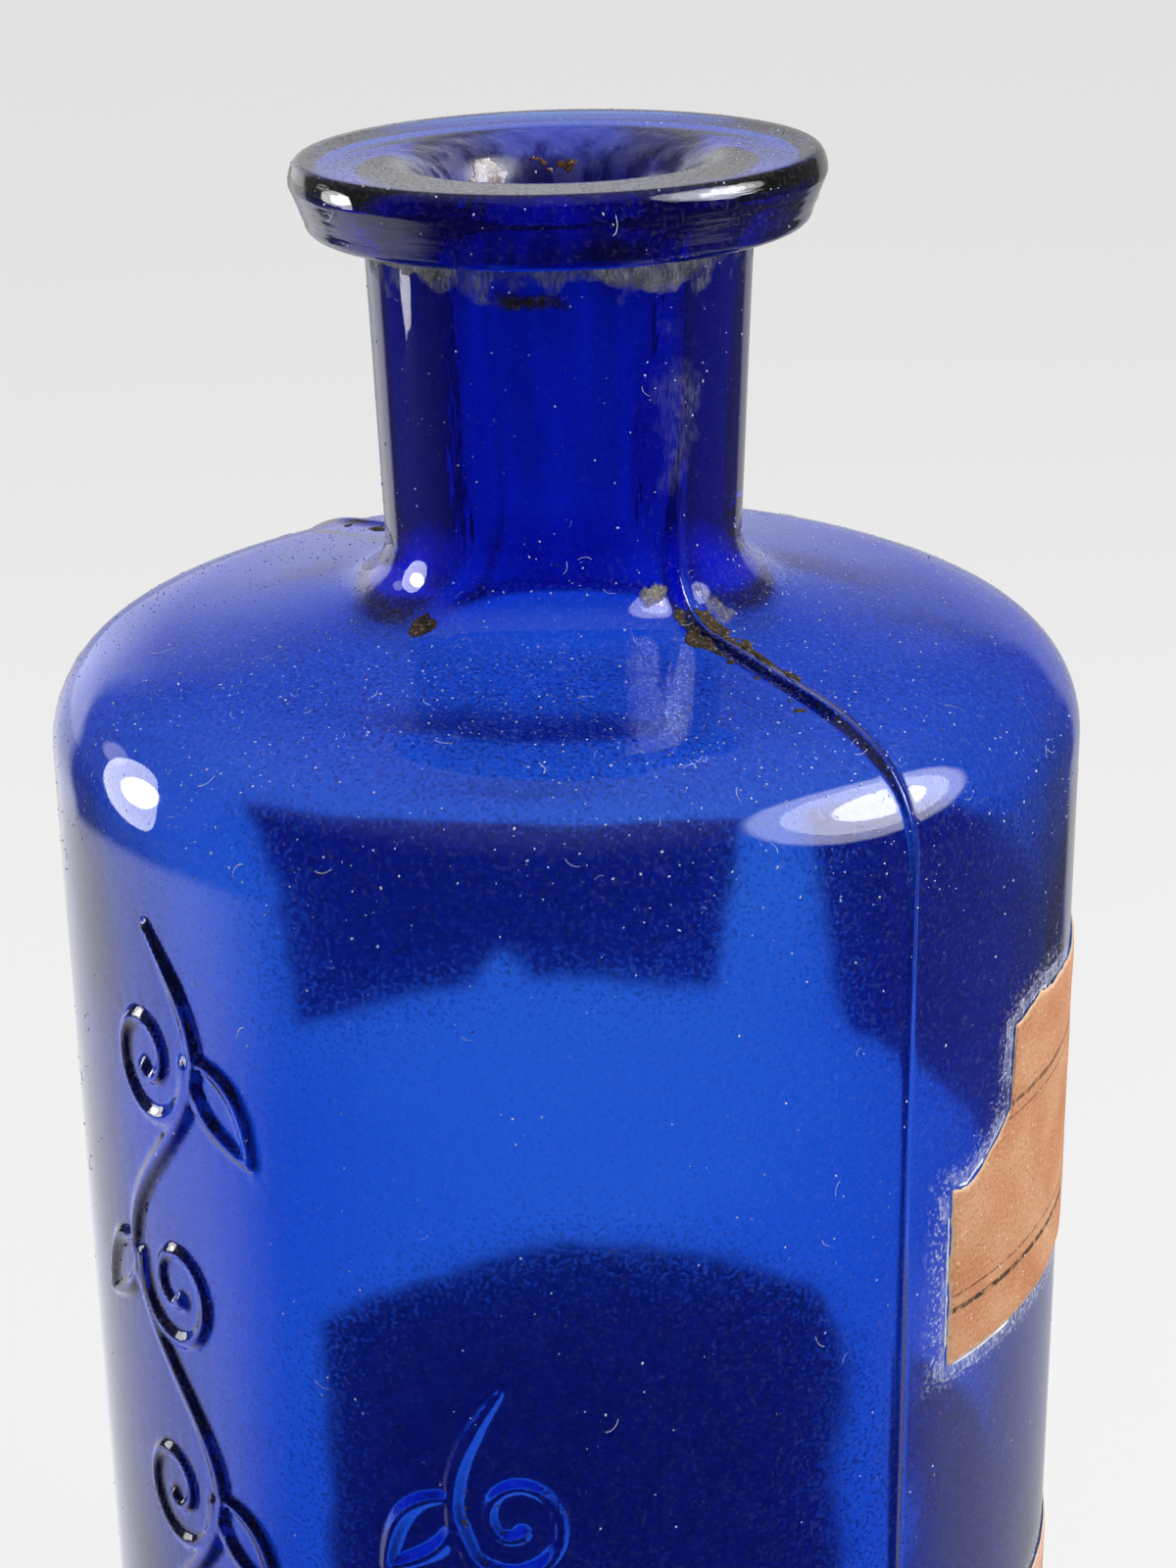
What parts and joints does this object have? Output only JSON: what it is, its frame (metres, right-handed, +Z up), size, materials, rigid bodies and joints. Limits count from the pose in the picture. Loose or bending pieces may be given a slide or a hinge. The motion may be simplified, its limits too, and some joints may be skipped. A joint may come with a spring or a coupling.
{
  "type": "apothecary bottle",
  "caption": "Round mould-blown blue glass apothecary bottle with a flange lip, an open mouth, mould seams and torn paper labels.",
  "frame": {"origin": "centre of the standing ring, on the surface the bottle stands on", "axes": "+Z up along the bottle's axis; the mould seams lie at +X and -X; the labelled half faces +Y"},
  "size_m": [0.0789, 0.0783, 0.176],
  "materials": {
    "glass": "fire-polished cobalt blue glass with fine dust",
    "upper_label_paper": "aged tan-orange paper with printed border rules",
    "lower_label_paper": "aged pinkish tan paper"
  },
  "bodies": {
    "root": {"bottle_body": "glass", "lip_ring": "glass", "upper_label_front": "upper_label_paper", "upper_label_back": "upper_label_paper", "lower_label_front": "lower_label_paper", "lower_label_back": "lower_label_paper"}
  },
  "joints": []
}
